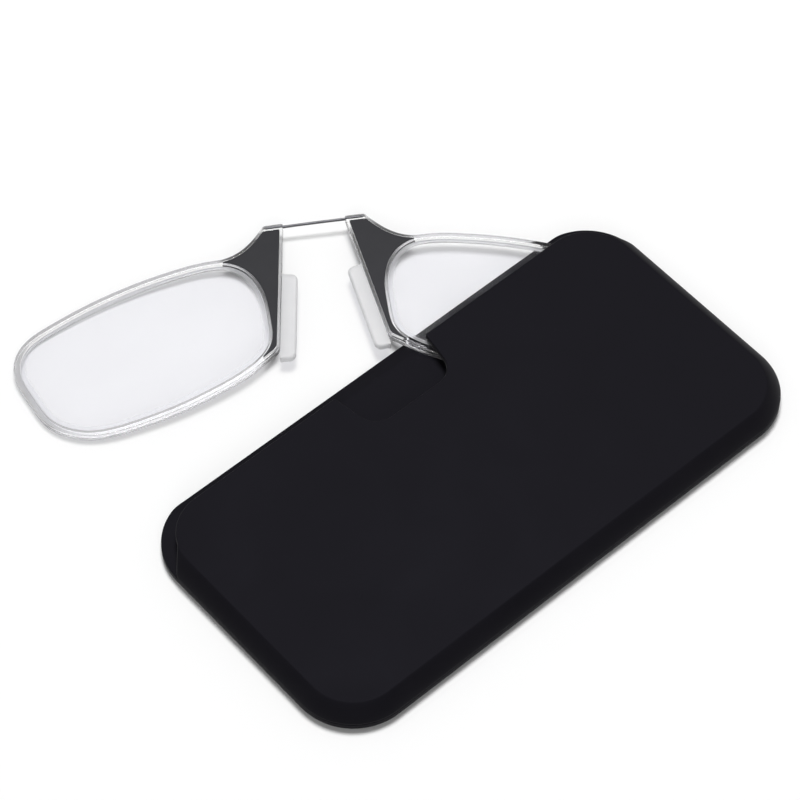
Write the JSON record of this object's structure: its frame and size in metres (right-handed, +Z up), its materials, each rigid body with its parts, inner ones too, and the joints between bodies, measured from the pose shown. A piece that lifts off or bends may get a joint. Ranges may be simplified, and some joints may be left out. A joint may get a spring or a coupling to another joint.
{
  "type": "clip-on reading glasses with flat case",
  "caption": "Temple-free reading glasses with a flexing bridge strip and silicone nose pads, half drawn out of a flat stick-on pocket case with a thumb notch.",
  "frame": {"origin": "centre of the case's stick-on face, on the surface the case stands on", "axes": "+X along the case, +Y out of the case's open edge, +Z up through its thickness"},
  "size_m": [0.116, 0.1089, 0.0053],
  "materials": {
    "case_shell": "black soft-touch paint on moulded polycarbonate",
    "adhesive_foam": "grey double-sided foam tape",
    "liner_paper": "waxed release paper",
    "clear_frame": "polished clear polycarbonate",
    "lens": "polished clear lens",
    "nose_plate": "satin black moulded plastic",
    "silicone": "frosted clear silicone",
    "bridge_metal": "dark grey spring strip"
  },
  "bodies": {
    "case": {"case_back": "case_shell", "case_cover": "case_shell", "adhesive_pad": "adhesive_foam", "release_liner": "liner_paper"},
    "right_half": {"right_rim": "clear_frame", "right_lens": "lens", "right_nose_plate": "nose_plate", "right_nose_pad": "silicone", "bridge_strip": "bridge_metal"},
    "left_half": {"left_rim": "clear_frame", "left_lens": "lens", "left_nose_plate": "nose_plate", "left_nose_pad": "silicone"}
  },
  "joints": [
    {"name": "glasses_slide", "type": "slide", "parent": "case", "child": "right_half", "axis": [0, 1, 0], "range_m": [-0.004, 0.045]},
    {"name": "bridge_flex", "type": "hinge", "parent": "right_half", "child": "left_half", "pos_m": [0.0138, 0.063, 0.0031], "axis": [0, 0, -1], "range_deg": [-12, 25], "stiffness_Nm_per_rad": 0.02, "deforming": ["bridge_strip"]}
  ]
}
